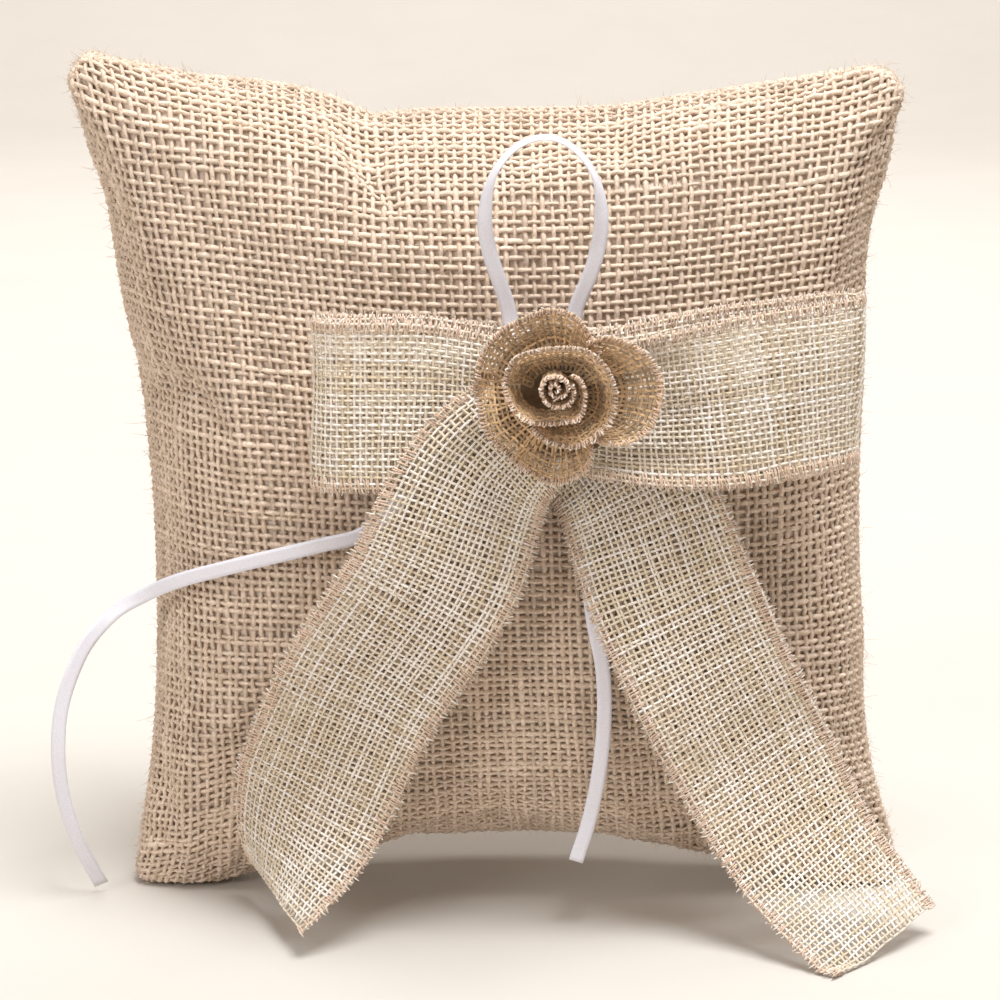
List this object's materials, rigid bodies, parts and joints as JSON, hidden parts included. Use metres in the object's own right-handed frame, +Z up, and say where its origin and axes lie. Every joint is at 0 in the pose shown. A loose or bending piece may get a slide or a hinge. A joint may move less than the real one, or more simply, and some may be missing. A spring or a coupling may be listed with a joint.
{
  "type": "ring bearer pillow",
  "caption": "Square jute ring bearer pillow standing on its lower corners, with a mesh ribbon bow, a rolled ribbon rose and a thin satin ribbon loop with hanging ends for the rings.",
  "frame": {"origin": "on the table, under the middle of the pillow with its bow and rose, the thin satin ribbon left out", "axes": "+X to the viewer's right, +Y from the decorated front to the plain back, +Z up"},
  "size_m": [0.2169, 0.1044, 0.2045],
  "materials": {
    "jute": "coarse open plain weave of natural jute, matt and slightly hairy",
    "lining": "plain beige lining cloth seen through the open weave",
    "fibre": "loose white polyester fibre filling",
    "mesh_ribbon": "cream open mesh ribbon with an overlocked pinkish tan edge",
    "rose_ribbon": "golden brown open mesh ribbon with an overlocked tan edge",
    "felt": "plain tan felt",
    "satin": "smooth white satin ribbon"
  },
  "bodies": {
    "pillow": {"cover_front": "jute", "cover_back": "jute", "lining_front": "lining", "lining_back": "lining", "fibre_fill": "fibre", "bow_loop_left": "mesh_ribbon", "bow_loop_right": "mesh_ribbon", "bow_tail_left": "mesh_ribbon", "bow_tail_right": "mesh_ribbon", "rose_felt_base": "felt", "rose_core": "rose_ribbon", "rose_inner_petal": "rose_ribbon", "rose_middle_petal": "rose_ribbon", "rose_petal_top": "rose_ribbon", "rose_petal_left": "rose_ribbon", "rose_petal_bottom": "rose_ribbon", "rose_petal_right": "rose_ribbon", "ring_ribbon_knot": "satin", "ring_ribbon_tail_left": "satin", "ring_ribbon_tail_right": "satin"},
    "ring_loop": {"ring_ribbon_loop": "satin"}
  },
  "joints": [
    {"name": "ring_loop_tilt", "type": "hinge", "parent": "pillow", "child": "ring_loop", "pos_m": [0.0056, -0.0283, 0.1527], "axis": [1, 0, 0], "range_deg": [-20, 45], "stiffness_Nm_per_rad": 0.00002}
  ]
}
